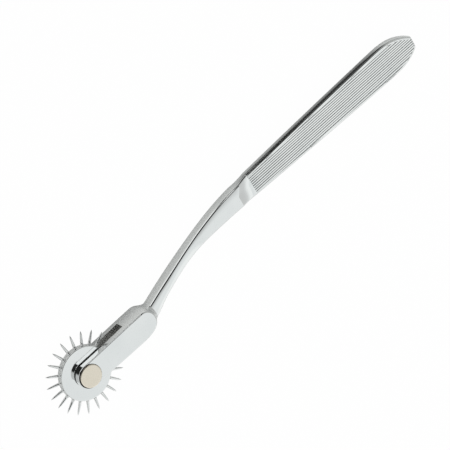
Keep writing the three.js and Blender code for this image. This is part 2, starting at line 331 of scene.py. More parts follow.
# %% Distance to the handle
def fork_distance(x, y):
    """Distance to the fork's outline: a round end, two straight sides and two quarter ellipses."""
    half = fork_width / 2 + fork_growth * eased(x, fork_growth_start_x, fork_growth_full_x)
    y = y - fork_rise * np.maximum(x, 0)
    ear = np.hypot(x + ear_lead, y) - half
    upper_x = x - (shoulder_tip_x - upper_corner_length)
    lower_x = x - (shoulder_tip_x - lower_corner_length)
    rise = y - shoulder_tip_y
    upper = corner_distance(upper_x, rise, upper_corner_length, half - shoulder_tip_y)
    lower = corner_distance(lower_x, rise, lower_corner_length, half + shoulder_tip_y, lower_corner_fullness)
    above = np.where(upper_x < 0, y - half, upper)
    below = np.where(lower_x < 0, -y - half, lower)
    return np.where(x < -ear_lead, ear, np.where(rise > 0, above, below))


def bar_distance(x, y):
    """Distance to the outline of the neck and grip, with each edge's slope allowed for."""
    step = 0.05 * mm
    low, high = outline(x)
    low_before, high_before = outline(x - step)
    low_after, high_after = outline(x + step)
    under = (low - y) / np.hypot(1, (low_after - low_before) / (2 * step))
    over = (y - high) / np.hypot(1, (high_after - high_before) / (2 * step))
    return np.maximum(np.maximum(under, over), np.maximum(x - tail_x, neck_buried_x - x))


def handle_distance(x, y, z):
    """The fork and the bar joined by a fillet, with the slot and the axle's bore cut out."""
    up = np.abs(z - axle_z)
    bulge = 1 - np.minimum(up / fork_half, 1) ** 2
    pushed_out = shoulder_crown * bulge * eased(x, slot_root_x, shoulder_tip_x)
    swollen = side_crown * bulge * eased(x, side_crown_start_x, side_crown_full_x)
    fork = rounded_slab(fork_distance(x - pushed_out, y) - swollen, up - fork_half, fork_edge_radius)
    along = eased(x, ridge_x + ridge_swing, grip_edge_full_x)
    edge_radius = neck_edge_radius + (grip_edge_radius - neck_edge_radius) * along
    bar = rounded_slab(bar_distance(x, y), up + crown(x, y) - hollow_thickness(x, y, z), edge_radius)
    fillet = shoulder_fillet + shoulder_fillet_growth * eased(y, shoulder_fillet_start_y, fork_width / 2)
    metal = filleted_union(fork, bar, fillet)
    slot = np.maximum(x - slot_root_x, up - slot_width / 2)
    metal = rounded_cut(metal, slot, slot_edge_radius)
    return np.maximum(metal, axle_bore_radius - np.hypot(x, y))


print("distance at the axle", round(float(handle_distance(0.0, 0.0, axle_z)) / mm, 2), "mm")

# %% [markdown]
# The grid is bent to follow the handle: across, it is as wide as the handle is at that place, and through, as
# thick. Its lines then run along the edges, so the rounded edges come out clean with few faces. Along
# the handle it is fine where the form changes fast and coarse where it runs straight.

# %% Sample grid
def spaced(*stretches):
    """Grid places from (start, end, spacing) stretches that follow each other."""
    runs = [np.arange(start, end - spacing / 2, spacing) for start, end, spacing in stretches]
    return np.concatenate([*runs, [stretches[-1][1]]])


def both_sides(places):
    """The places and their mirror images, in one row."""
    return np.concatenate([-places[:0:-1], places])


slot_near_root_x = slot_root_x - 1 * mm
past_shoulder_x = shoulder_tip_x + 4 * mm
before_ridge_x = ridge_x - 1 * mm
past_ridge_x = ridge_x + 1 * mm
near_tail_x = tail_x - 1.6 * mm
grid_x = spaced(
    (ear_end_x - 0.6 * mm, slot_near_root_x, 0.25 * mm),
    (slot_near_root_x, past_shoulder_x, 0.2 * mm),
    (past_shoulder_x, before_ridge_x, 0.5 * mm),
    (before_ridge_x, past_ridge_x, 0.1 * mm),
    (past_ridge_x, grip_start_x, 0.35 * mm),
    (grip_start_x, grip_widest_x, 1 * mm),
    (grip_widest_x, near_tail_x, 0.4 * mm),
    (near_tail_x, tail_x + 0.4 * mm, 0.1 * mm),
)
across_shares = spaced((0, 0.7, 0.1), (0.7, 1.204, 0.028))
through_shares = spaced((0, 0.36, 0.09), (0.36, 0.46, 0.025), (0.46, 0.75, 0.058), (0.75, 1.12, 0.037))
grid_across, grid_through = both_sides(across_shares), both_sides(through_shares)

to_neck_start_x = shoulder_tip_x + 0.4 * mm
to_neck_end_x = shoulder_tip_x + 5 * mm
low_edge, high_edge = outline(grid_x)
to_neck = eased(grid_x, to_neck_start_x, to_neck_end_x)
centre_y = to_neck * (low_edge + high_edge) / 2
half_y = (1 - to_neck) * fork_width / 2 + to_neck * (high_edge - low_edge) / 2
half_z = (1 - to_neck) * fork_half + to_neck * half_thickness(grid_x - ridge_swing)
corner_x = grid_x[:, None, None] + 0 * grid_across[:, None] * grid_through
corner_y = (centre_y[:, None] + half_y[:, None] * grid_across)[:, :, None] + 0 * grid_through
corner_z = axle_z + half_z[:, None, None] * grid_through + 0 * grid_across[:, None]
corners = np.stack([corner_x, corner_y, corner_z], -1)
values = handle_distance(corner_x, corner_y, corner_z)
print("grid", values.shape, "samples inside", int((values < 0).sum()))


# %% [markdown]
# Surface nets: each cell that the surface passes through gets one vertex, at the mean of the points where
# its edges are crossed. Each crossed grid edge then gets a quad through the four cells around it. The quad is
# turned so that it faces out of the metal.

# %% Surface nets
def shifted(array, axis, start, stop):
    index = [slice(None)] * array.ndim
    index[axis] = slice(start, stop)
    return array[tuple(index)]


def surface_net(values, corners):
    cells = tuple(n - 1 for n in values.shape)
    sums = np.zeros((*cells, 3))
    hits = np.zeros(cells)
    crossings = []
    for axis in range(3):
        first, second = shifted(values, axis, None, -1), shifted(values, axis, 1, None)
        crossed = (first < 0) != (second < 0)
        share = np.where(crossed, first / np.where(crossed, first - second, 1), 0)[..., None]
        start, end = shifted(corners, axis, None, -1), shifted(corners, axis, 1, None)
        points = (start + share * (end - start)) * crossed[..., None]
        b, c = (axis + 1) % 3, (axis + 2) % 3
        for side_b in ((None, -1), (1, None)):
            for side_c in ((None, -1), (1, None)):
                sums += shifted(shifted(points, b, *side_b), c, *side_c)
                hits += shifted(shifted(crossed, b, *side_b), c, *side_c)
        crossings.append((crossed, first < 0))
    used = hits > 0
    ids = np.full(cells, -1)
    ids[used] = np.arange(used.sum())
    quads = []
    for axis, (crossed, inside) in enumerate(crossings):
        b, c = (axis + 1) % 3, (axis + 2) % 3
        inner = shifted(shifted(crossed, b, 1, -1), c, 1, -1)
        outward = shifted(shifted(inside, b, 1, -1), c, 1, -1)[inner]
        around = []
        for side_b, side_c in ((0, 0), (1, 0), (1, 1), (0, 1)):
            cell = shifted(shifted(ids, b, side_b, side_b - 1 or None), c, side_c, side_c - 1 or None)
            around.append(cell[inner])
        ring = np.stack(around, -1)
        quads.append(np.where(outward[:, None], ring, ring[:, ::-1]))
    return sums[used] / hits[used][:, None], np.concatenate(quads)


handle_points, handle_quads = surface_net(values, corners)
print("handle mesh", len(handle_points), "points", len(handle_quads), "quads")


# %% [markdown]
# The vertices now lie near the surface. A few steps down the distance's own slope put them on it exactly, and
# the slope there, made one long, is the true normal. That keeps flat faces flat and makes the
# rounded edges reflect as one smooth line.

# %% Settle the points and set the normals
settling_steps = 5
longest_move = 0.1 * mm
least_steepness = 0.25


def slope_at(points):
    step = 0.01 * mm
    x, y, z = points.T
    across = handle_distance(x + step, y, z) - handle_distance(x - step, y, z)
    up = handle_distance(x, y + step, z) - handle_distance(x, y - step, z)
    through = handle_distance(x, y, z + step) - handle_distance(x, y, z - step)
    return np.stack([across, up, through], -1) / (2 * step)


for _ in range(settling_steps):
    slope = slope_at(handle_points)
    steepness = np.maximum((slope**2).sum(1), least_steepness)
    move = -(handle_distance(*handle_points.T) / steepness)[:, None] * slope
    handle_points = handle_points + np.clip(move, -longest_move, longest_move)
normals = slope_at(handle_points)
normals /= np.maximum(np.linalg.norm(normals, axis=1, keepdims=True), 1e-6)
handle_forging = mesh_object("handle_forging", handle_points, handle_quads)
set_normals(handle_forging, normals)
describe(handle_forging)

# %% [markdown]
# Two measures tell whether the mesh is sound. In a closed surface each edge belongs to an even number of
# faces, and no point should be far from where the distance is zero.

# %% Measure the handle
sides = np.sort(np.stack([handle_quads, np.roll(handle_quads, -1, 1)], -1).reshape(-1, 2), 1)
times_used = np.unique(sides, axis=0, return_counts=True)[1]
left_over = np.abs(handle_distance(*handle_points.T))
print("open edges", int((times_used % 2).sum()))
print(f"farthest point from the surface {left_over.max() / mm:.4f} mm")

# %% [markdown]
# ## Ribs
# Half-round ribs lie side by side along both faces of the grip, and each stops where it meets the grip's
# plain margin. One more rib follows each of the grip's edges. They repeat by a rule, so Geometry Nodes make
# them: the line of each rib becomes a curve, and an oval profile is swept along it. No rib of a pressed grip
# lies quite true, so each is off its place by a few hundredths of a millimetre, from a fixed seed.

# %% Rib sizes
rib_pitch = 0.86 * mm
rib_height = 0.3 * mm
rib_rounding = 0.26 * mm
rib_wander = 0.05 * mm
rib_seed = 11
rib_search_step = 0.05 * mm
rib_margin = 1.1 * mm
rib_tail_margin = 0.45 * mm
rib_end_length = 0.35 * mm
rib_points = 60
rib_end_points = 6
border_inset = 0.95 * mm
border_start_gap = 0.2 * mm
border_end_gap = 0.3 * mm
border_points = 160
print(f"ribs {rib_pitch / mm:.2f} mm apart")

# %% [markdown]
# Each line lies on the grip's face. Towards the tail that face rounds off, so a line's points crowd at its
# ends to follow the fall.

# %% Rib lines
def face_height(x, y):
    """Height of the grip's rounded face above the axle's plane."""
    low, high = outline(x)
    edge = np.minimum(np.minimum(y - low, high - y), tail_x - x)
    inset = np.clip(grip_edge_radius - edge, 0, grip_edge_radius)
    return grip_half - grip_edge_radius + np.sqrt(grip_edge_radius**2 - inset**2)


def rib_paths():
    """Places along and across the grip for each rib that runs straight, then for the two border ribs."""
    paths = []
    axis_y = grip_root_y + grip_axis_rise / 2
    places = np.arange(grip_start_x, tail_x - rib_tail_margin, rib_search_step)
    low, high = outline(places)
    near = rib_end_length * (1 - np.cos(np.linspace(0, math.pi / 2, rib_end_points)))
    ranks = math.ceil((grip_tail_width + grip_swell) / rib_pitch / 2)
    # The draw is twice as long as there are ribs, and every second number is used.
    wander = np.random.default_rng(rib_seed).uniform(-rib_wander, rib_wander, 4 * ranks)[::2]
    for rank, aside in zip(range(-ranks, ranks), wander):
        y = axis_y + (rank + 0.5) * rib_pitch + aside
        fits = places[(low + rib_margin < y) & (y < high - rib_margin)]
        if len(fits) > 1:
            between = np.linspace(fits[0], fits[-1], rib_points)[1:-1]
            x = np.sort(np.concatenate([fits[0] + near, between, fits[-1] - near]))
            paths.append((x, np.full_like(x, y)))
    x = np.linspace(grip_start_x + border_start_gap, tail_x - rib_tail_margin - border_end_gap, border_points)
    low, high = outline(x)
    return paths + [(x, low + border_inset), (x, high - border_inset)]


def rib_lines():
    """Points and edges of every rib's line, on the rear face and on the front one."""
    points, edges = [], []
    for x, y in rib_paths():
        for side in (-1, 1):
            first = len(points)
            points += list(zip(x, y, axle_z + side * face_height(x, y)))
            edges += [(i, i + 1) for i in range(first, len(points) - 1)]
    return points, edges


line_points, line_edges = rib_lines()
print("ribs", len(line_points) - len(line_edges))


# %% [markdown]
# ## Node trees
# Geometry Nodes and materials are both trees of nodes, so one helper adds a node to either: it is given the
# node's settings, and for each input a value or another node's output. A geometry tree has named inputs for
# its sizes, and a modifier sets them by their identifier. The last helper turns the evaluated result into a
# plain mesh without a modifier.

# %% Node helpers
socket_kinds = {int: "NodeSocketInt", float: "NodeSocketFloat", bpy.types.Material: "NodeSocketMaterial"}


def add_node(tree, kind, inputs=(), **settings):
    node = tree.nodes.new(kind)
    for key, value in settings.items():
        setattr(node, key, value)
    for key, value in dict(inputs).items():
        if isinstance(value, bpy.types.NodeSocket):
            tree.links.new(value, node.inputs[key])
        else:
            node.inputs[key].default_value = value
    return node


def new_tree(name, sizes):
    """A tree with a named input for each size, and the sizes by the identifiers of their inputs."""
    tree = bpy.data.node_groups.new(name, "GeometryNodeTree")
    for in_out in ("INPUT", "OUTPUT"):
        tree.interface.new_socket("Geometry", in_out=in_out, socket_type="NodeSocketGeometry")
    by_identifier = {}
    for label, value in sizes.items():
        kind = socket_kinds[type(value)]
        socket = tree.interface.new_socket(label, in_out="INPUT", socket_type=kind)
        by_identifier[socket.identifier] = value
    return tree, by_identifier


def bake(made, tree, by_identifier):
    """Give the object the tree's result as a plain mesh of its own."""
    modifier = made.modifiers.new(tree.name, "NODES")
    modifier.node_group = tree
    for identifier, value in by_identifier.items():
        modifier[identifier] = value
    bpy.context.view_layer.update()
    evaluated = made.evaluated_get(bpy.context.evaluated_depsgraph_get())
    mesh = bpy.data.meshes.new_from_object(evaluated)
    made.modifiers.remove(modifier)
    made.data = mesh


print("an input can be", [kind.removeprefix("NodeSocket") for kind in socket_kinds.values()])

# %% [markdown]
# ## Finishes
# The handle and disc are polished and plated, so their colour is almost all reflection. What tells real
# plating from a perfect mirror is small: a faint cast unevenness that bends reflections, fine polishing lines
# along the metal, and a roughness that drifts a little. All patterns read Object coordinates, so they stay
# put on the metal.

# %% Finish helpers
def new_material(name):
    """An empty material, its tree, and the place on the metal that its patterns read."""
    material = bpy.data.materials.new(name)
    material.use_nodes = True
    tree = material.node_tree
    tree.nodes.clear()
    return material, tree, add_node(tree, "ShaderNodeTexCoord").outputs["Object"]


def noise(tree, place, scale, stretch=(1, 1, 1), detail=3.0):
    mapping = add_node(tree, "ShaderNodeMapping", {"Vector": place, "Scale": stretch})
    inputs = {"Vector": mapping.outputs["Vector"], "Scale": scale, "Detail": detail}
    return add_node(tree, "ShaderNodeTexNoise", inputs).outputs["Fac"]


def ranged(tree, value, low, high, start=0.3, end=0.7):
    """low where the value is up to start, high from end on, and even between them."""
    inputs = {"Value": value, "From Min": start, "From Max": end, "To Min": low, "To Max": high}
    return add_node(tree, "ShaderNodeMapRange", inputs).outputs["Result"]


def calculated(tree, operation, a, b):
    return add_node(tree, "ShaderNodeMath", {0: a, 1: b}, operation=operation).outputs["Value"]


def blended(tree, share, first, second):
    """A Mix node has sockets for each kind of data: its colours are inputs 6 and 7, and output 2."""
    first, second = [(*c, 1) if isinstance(c, tuple) else c for c in (first, second)]
    inputs = {"Factor": share, 6: first, 7: second}
    return add_node(tree, "ShaderNodeMix", inputs, data_type="RGBA").outputs[2]


def metal_surface(tree, colour, roughness, height, depth):
    """Bare metal, whose reflections are bent by a height pattern of a given depth."""
    bump = add_node(tree, "ShaderNodeBump", {"Strength": 1.0, "Distance": depth, "Height": height})
    inputs = {"Metallic": 1.0, "Base Color": colour, "Roughness": roughness, "Normal": bump.outputs["Normal"]}
    shader = add_node(tree, "ShaderNodeBsdfPrincipled", inputs)
    add_node(tree, "ShaderNodeOutputMaterial", {"Surface": shader.outputs["BSDF"]})


print("finish helpers ready")

# %% [markdown]
# Some finishes change from place to place on one piece. They need a place's parts: how far it is along the
# handle, how far from the plane that halves the disc, and how far from the axle.

# %% Place helpers
def parted(tree, place):
    split = add_node(tree, "ShaderNodeSeparateXYZ", {"Vector": place})
    return [split.outputs[name] for name in "XYZ"]


def vector_math(tree, operation, a, b=(0, 0, 0)):
    return add_node(tree, "ShaderNodeVectorMath", {0: a, 1: b}, operation=operation).outputs


def off_middle(tree, z):
    return calculated(tree, "ABSOLUTE", calculated(tree, "SUBTRACT", z, axle_z), 0)


def off_axle(tree, place, shift=(0, 0, 0)):
    moved = vector_math(tree, "ADD", place, shift)["Vector"]
    flat = vector_math(tree, "MULTIPLY", moved, (1, 1, 0))["Vector"]
    return vector_math(tree, "LENGTH", flat)["Value"]


print("place helpers ready")

# %% [markdown]
# ### Polished steel
# The plating's colour drifts a little, and the polishing lines run along the handle, so their noise is
# stretched that way. The inside of the slot was only milled, so it is darker and duller. A thin black line
# of painted shade runs round the rivet's head on the ear's face, shifted to be wider on one side. The disc's
# rim is duller than its faces, because the pins keep a polishing cloth off it.

# %% Polished steel
mask_reach = 0.03 * mm
head_shade_width = 0.3 * mm
# Shift of the painted shade ring round the rivet head, so that it is wider on one side
head_shade_shift = (0.16 * mm, 0.05 * mm, 0)
ear_face_reach = 0.1 * mm
rim_reach = 0.12 * mm


def slot_and_head_shade(tree, place, colour, roughness):
    x, _, z = parted(tree, place)
    height = off_middle(tree, z)
    in_slot = calculated(tree, "LESS_THAN", height, slot_width / 2 + mask_reach)
    before_root = calculated(tree, "LESS_THAN", x, slot_root_x + mask_reach)
    milled = calculated(tree, "MULTIPLY", in_slot, before_root)
    colour = blended(tree, milled, colour, (0.6, 0.6, 0.59))
    # Painted shade: a thin black ring on the ear's face round the rivet head
    from_head = off_axle(tree, place, head_shade_shift)
    round_head = calculated(tree, "LESS_THAN", from_head, head_radius + head_shade_width)
    on_face = calculated(tree, "GREATER_THAN", height, fork_half - ear_face_reach)
    painted_head_shade = calculated(tree, "MULTIPLY", round_head, on_face)
    colour = blended(tree, painted_head_shade, colour, (0.03, 0.03, 0.03))
    dull = calculated(tree, "MULTIPLY", milled, 0.35)
    return colour, calculated(tree, "ADD", roughness, dull)


def polished_steel(name, slot=False, rim=False):
    material, tree, place = new_material(name)
    drift = ranged(tree, noise(tree, place, scale=90, detail=2.0), 0.0, 1.0)
    colour = blended(tree, drift, (0.83, 0.845, 0.85), (0.875, 0.885, 0.885))
    lines = noise(tree, place, scale=700, stretch=(0.06, 1, 1), detail=4.0)
    roughness = ranged(tree, lines, 0.035, 0.085)
    if slot:
        colour, roughness = slot_and_head_shade(tree, place, colour, roughness)
    if rim:
        on_rim = calculated(tree, "GREATER_THAN", off_axle(tree, place), disc_radius - rim_reach)
        roughness = calculated(tree, "ADD", roughness, calculated(tree, "MULTIPLY", on_rim, 0.3))
    waves = noise(tree, place, scale=110, detail=1.0)
    metal_surface(tree, colour, roughness, waves, depth=0.02 * mm)
    return material


handle_finish = polished_steel("plated_steel_handle", slot=True)
disc_finish = polished_steel("plated_steel_disc", rim=True)
rib_finish = polished_steel("plated_steel_ribs")
handle_forging.data.materials.append(handle_finish)
print("finishes", [m.name for m in bpy.data.materials if m.name.startswith("plated")])

# %% [markdown]
# ### Pin steel and nickel silver
# The pins are ground to a point, so fine marks make them duller than the plating. The rivet is nickel silver,
# a copper alloy that looks faintly yellow beside steel. Its heads are pressed and only lightly polished, so
# they reflect softly. The side of a head is painted dark at its foot, as painted shade in the gap between it
# and the ear.

# %% Pin steel and nickel silver
foot_shade_height = 0.29 * mm
foot_shade_end = 0.34 * mm


def pin_steel():
    material, tree, place = new_material("ground_pin_steel")
    drift = ranged(tree, noise(tree, place, scale=250), 0.0, 1.0)
    colour = blended(tree, drift, (0.78, 0.79, 0.795), (0.86, 0.87, 0.87))
    marks = noise(tree, place, scale=1500, detail=2.0)
    metal_surface(tree, colour, ranged(tree, marks, 0.09, 0.2), marks, depth=0.004 * mm)
    return material


def nickel_silver():
    material, tree, place = new_material("nickel_silver")
    cloud = noise(tree, place, scale=300)
    colour = blended(tree, ranged(tree, cloud, 0.0, 1.0), (0.80, 0.73, 0.62), (0.86, 0.79, 0.68))
    height = off_middle(tree, parted(tree, place)[2])
    # Painted shade: the head's side turns almost black near its foot
    painted_foot_shade = ranged(tree, height, 1.0, 0.0, fork_half + foot_shade_height, fork_half + foot_shade_end)
    colour = blended(tree, painted_foot_shade, colour, (0.05, 0.045, 0.035))
    grain = noise(tree, place, scale=900, detail=2.0)
    metal_surface(tree, colour, ranged(tree, cloud, 0.16, 0.26), grain, depth=0.003 * mm)
    return material


pin_finish = pin_steel()
rivet_finish = nickel_silver()
print("finishes", pin_finish.name, rivet_finish.name)

# %% [markdown]
# ### Rib tree
# The rib tree turns the lines into curves and sweeps an oval along them. The oval is a rectangle with
# rounded corners, twice as high as a rib, so its lower half sinks into the grip. The end of a tree is the
# same for ribs and pins: copies are made real, because they would be lost when the model leaves Blender.

# %% Rib tree
def sweep(tree, curve, profile, scale=1.0):
    inputs = {"Curve": curve, "Profile Curve": profile, "Scale": scale, "Fill Caps": True}
    return add_node(tree, "GeometryNodeCurveToMesh", inputs).outputs["Mesh"]


def end_tree(tree, geometry, finish):
    smooth = add_node(tree, "GeometryNodeSetShadeSmooth", {"Geometry": geometry})
    real = add_node(tree, "GeometryNodeRealizeInstances", {"Geometry": smooth.outputs["Geometry"]})
    inputs = {"Geometry": real.outputs["Geometry"], "Material": finish}
    finished = add_node(tree, "GeometryNodeSetMaterial", inputs)
    add_node(tree, "NodeGroupOutput", {"Geometry": finished.outputs["Geometry"]})


def rib_tree(sizes):
    tree, by_identifier = new_tree("grip_ribs", sizes)
    entry = add_node(tree, "NodeGroupInput").outputs
    curve = add_node(tree, "GeometryNodeMeshToCurve", {"Mesh": entry["Geometry"]})
    upright = add_node(tree, "GeometryNodeSetCurveNormal", {"Curve": curve.outputs["Curve"]}, mode="Z_UP")
    twice = calculated(tree, "MULTIPLY", entry["Rib Height"], 2.0)
    sides = {"Width": entry["Rib Width"], "Height": twice}
    box = add_node(tree, "GeometryNodeCurvePrimitiveQuadrilateral", sides, mode="RECTANGLE")
    rounding = {"Curve": box.outputs["Curve"], "Radius": entry["Rounding"], "Count": 4, "Limit Radius": True}
    oval = add_node(tree, "GeometryNodeFilletCurve", rounding, mode="POLY")
    ribs = sweep(tree, upright.outputs["Curve"], oval.outputs["Curve"])
    end_tree(tree, ribs, entry["Finish"])
    return tree, by_identifier


rib_inputs = {
    "Rib Width": rib_pitch,
    "Rib Height": rib_height,
    "Rounding": rib_rounding,
    "Finish": rib_finish,
}
grip_ribs = mesh_object("grip_ribs", line_points, edges=line_edges)
bake(grip_ribs, *rib_tree(rib_inputs))
describe(grip_ribs)

# %% [markdown]
# ## Pins
# Each pin is turned: a flared foot that sits on the rim, a slim taper and a ground point. Its profile is a
# list of heights and radii. A pin is anchored in a socket of the disc, so the profile starts inside the rim.

# %% Pin profile
pin_count = 22
pin_sides = 24
first_pin_turn = math.radians(13.5)
pin_reach = 5.5 * mm
pin_shank_depth = 1.0 * mm
shank_radius = 0.42 * mm
foot_sink = 0.02 * mm
foot_radius = 0.78 * mm
foot_height = 0.55 * mm
foot_flare_share = 0.6
root_radius = 0.54 * mm
neck_radius = 0.35 * mm
point_length = 1.3 * mm
point_radius = 0.04 * mm
point_roundness = 1.3


def pin_radii():
    """(height above the rim, radius) along a pin, from inside its socket to its point."""
    rows = [(-pin_shank_depth, shank_radius), (-foot_sink, shank_radius), (-foot_sink, foot_radius)]
    for turn in np.linspace(0, math.pi / 2, 7):
        height = foot_height * foot_flare_share * math.sin(turn)
        rows.append((height, root_radius + (foot_radius - root_radius) * math.cos(turn)))
    point_start = pin_reach - point_length
    for share in (0.2, 0.4, 0.6, 0.8, 1.0):
        height = foot_height + (point_start - foot_height) * share
        rows.append((height, root_radius + (neck_radius - root_radius) * share))
    for share in (0.15, 0.4, 0.7, 1.0):
        radius = neck_radius + (point_radius - neck_radius) * share**point_roundness
        rows.append((point_start + point_length * share, radius))
    return rows


pin_rows = pin_radii()
print("pin profile of", len(pin_rows), "rings")

# %% [markdown]
# ### Pin tree
# One line of points carries the pin's radius as an attribute named girth. The tree sweeps a circle along the
# line and scales it by girth at each point. It moves that pin out to the rim, and places a copy for each pin
# at the axle, turned by its own share of the circle.

# %% Pin tree
def one_pin(tree, entry):
    """A pin that stands on the rim, out along X."""
    curve = add_node(tree, "GeometryNodeMeshToCurve", {"Mesh": entry["Geometry"]})
    circle = add_node(tree, "GeometryNodeCurvePrimitiveCircle", {"Resolution": pin_sides, "Radius": 1.0})
    girth = add_node(tree, "GeometryNodeInputNamedAttribute", {"Name": "girth"}, data_type="FLOAT")
    pin = sweep(tree, curve.outputs["Curve"], circle.outputs["Curve"], girth.outputs["Attribute"])
    out = add_node(tree, "ShaderNodeCombineXYZ", {"X": entry["Rim Radius"]})
    move = {"Geometry": pin, "Translation": out.outputs["Vector"]}
    return add_node(tree, "GeometryNodeTransform", move).outputs["Geometry"]


def pin_tree(sizes):
    tree, by_identifier = new_tree("pins_round_rim", sizes)
    entry = add_node(tree, "NodeGroupInput").outputs
    up = add_node(tree, "ShaderNodeCombineXYZ", {"Z": entry["Axle Height"]})
    at_axle = {"Count": entry["Pin Count"], "Position": up.outputs["Vector"]}
    stations = add_node(tree, "GeometryNodePoints", at_axle)
    index = add_node(tree, "GeometryNodeInputIndex")
    step = calculated(tree, "DIVIDE", 2 * math.pi, entry["Pin Count"])
    turn = calculated(tree, "MULTIPLY", index.outputs["Index"], step)
    turn = calculated(tree, "ADD", turn, entry["First Turn"])
    rotation = add_node(tree, "ShaderNodeCombineXYZ", {"Z": turn})
    inputs = {
        "Points": stations.outputs["Points"],
        "Instance": one_pin(tree, entry),
        "Rotation": rotation.outputs["Vector"],
    }
    copies = add_node(tree, "GeometryNodeInstanceOnPoints", inputs)
    end_tree(tree, copies.outputs["Instances"], entry["Finish"])
    return tree, by_identifier


pin_ends = [(i, i + 1) for i in range(len(pin_rows) - 1)]
pins = mesh_object("pin_ring", [(height, 0, 0) for height, _ in pin_rows], edges=pin_ends)
girth = pins.data.attributes.new("girth", "FLOAT", "POINT")
girth.data.foreach_set("value", [radius for _, radius in pin_rows])
pin_inputs = {
    "Pin Count": pin_count,
    "Rim Radius": disc_radius,
    "First Turn": first_pin_turn,
    "Axle Height": axle_z,
    "Finish": pin_finish,
}
bake(pins, *pin_tree(pin_inputs))
describe(pins)

# %% [markdown]
# ## Disc and rivet
# The disc and the two rivet heads are turned parts: one profile spun round the axle. Each corner of a profile
# is rounded by a small arc, because it is those arcs that catch the light on polished metal.

# %% Turned parts
def rounded_profile(corners, steps=5):
    """Points of a closed profile from (radius, height, rounding) corners."""
    points = []
    count = len(corners)
    for i, (r, h, rounding) in enumerate(corners):
        here = np.array((r, h))
        before = np.array(corners[i - 1][:2]) - here
        after = np.array(corners[(i + 1) % count][:2]) - here
        if rounding == 0:
            points.append(here)
            continue
        before /= np.linalg.norm(before)
        after /= np.linalg.norm(after)
        for k in range(steps + 1):
            t = k / steps
            spread = rounding * ((1 - t) ** 2 * before + t**2 * after)
            points.append(here + spread)
    return points


def turned(name, corners, sides=144):
    profile = rounded_profile(corners)
    points, rings = [], []
    for r, h in profile:
        if r < 1e-9:
            rings.append([len(points)] * sides)
            points.append((0, 0, h))
            continue
        rings.append(list(range(len(points), len(points) + sides)))
        for k in range(sides):
            turn = 2 * math.pi * k / sides
            points.append((r * math.cos(turn), r * math.sin(turn), h))
    faces = []
    for ring, following in zip(rings, rings[1:] + rings[:1]):
        for k in range(sides):
            n = (k + 1) % sides
            corner_ids = [ring[k], ring[n], following[n], following[k]]
            face = list(dict.fromkeys(corner_ids))
            if len(face) > 2:
                faces.append(face)
    made = mesh_object(name, points, faces)
    flat_faces_win(made)
    return made


hub_radius = 2.1 * mm
hub_rounding = 0.1 * mm
disc_rounding = 0.3 * mm
disc_corners = [
    (hub_radius, disc_low.z, hub_rounding),
    (disc_radius, disc_low.z, disc_rounding),
    (disc_radius, disc_high.z, disc_rounding),
    (hub_radius, disc_high.z, hub_rounding),
]
disc_polished = turned("disc_polished", disc_corners)
disc_polished.data.materials.append(disc_finish)
describe(disc_polished)

# %% [markdown]
# ### Rivet heads
# The wheel turns on a rivet in two halves, pressed together in the middle of the disc. What shows is a low
# flat head on each ear, with a small bevel round it. The bevel's arcs are tiny, but each gives the bright
# thin ring that tells a real rivet from a painted disc.

# %% Rivet heads
post_radius = 2.0 * mm
head_bevel = 0.35 * mm
head_bevel_height = 0.1 * mm
head_foot_rounding = 0.02 * mm
head_side_rounding = 0.08 * mm
head_face_rounding = 0.12 * mm
half_overlap = 0.2 * mm
face_radius = head_radius - head_bevel
front_corners = [
    (0, axle_z, 0),
    (post_radius, axle_z, 0),
    (post_radius, axle_z + fork_half, 0),
    (head_radius, axle_z + fork_half, head_foot_rounding),
    (head_radius, head_top_z - head_bevel_height, head_side_rounding),
    (face_radius, head_top_z, head_face_rounding),
    (0, head_top_z, 0),
]
rear_corners = [
    (0, cap_low.z, 0),
    (face_radius, cap_low.z, head_face_rounding),
    (head_radius, cap_low.z + head_bevel_height, head_side_rounding),
    (head_radius, axle_z - fork_half, head_foot_rounding),
    (post_radius, axle_z - fork_half, 0),
    (post_radius, axle_z - half_overlap, 0),
    (0, axle_z - half_overlap, 0),
]
rivet_front = turned("rivet_front", front_corners)
rivet_rear = turned("rivet_rear", rear_corners)
for rivet in (rivet_front, rivet_rear):
    rivet.data.materials.append(rivet_finish)
    describe(rivet)

# %% [markdown]
# ## Riding on the frame
# Each piece now moves with its body, and the construction parts that the pieces stand for are hidden.

# %% Ride
handle_pieces = [handle_forging, grip_ribs, rivet_front, rivet_rear]
for piece in handle_pieces:
    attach(piece, "handle_body")
for piece in (disc_polished, pins):
    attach(piece, "wheel_body")
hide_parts("handle")
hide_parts("rivet_post")
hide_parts("rivet_cap")
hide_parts("wheel_disc")
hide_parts(*[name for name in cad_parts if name.startswith("pin_")])

# %% [markdown]
# ## Floor
# The instrument lies on plain white paper. The camera sees that paper as almost pure white, while the metal
# mirrors it as it is lit, with the instrument's shadow. Beside the grip, a painted shadow lies on the paper
# that only the metal's reflections see. It draws the dark band along the grip's upper edge. The painted
# shadow's edges are slanted and soft, so the band starts behind the ramp and fades out before the tail.

# %% Floor helpers
def glow(tree, colour):
    return add_node(tree, "ShaderNodeEmission", {"Color": (*colour, 1), "Strength": 1.0}).outputs["Emission"]


def mixed(tree, share, first, second):
    return add_node(tree, "ShaderNodeMixShader", {0: share, 1: first, 2: second}).outputs["Shader"]


# Painted shadow of the grip on the floor, seen only in the metal's reflections
grip_shadow_start_x = 84 * mm
grip_shadow_start_y = 19 * mm
grip_shadow_start_slope = 2.0
grip_shadow_start_blur = 6 * mm
grip_shadow_cover = 0.97
grip_shadow_side_y = 18.3 * mm
grip_shadow_side_slope = 0.02
grip_shadow_side_blur = (0.2 * mm, 2.4 * mm)
grip_shadow_side_cover = 0.15
grip_shadow_end_lean = 0.42
grip_shadow_end_blur = (150 * mm, 166 * mm)


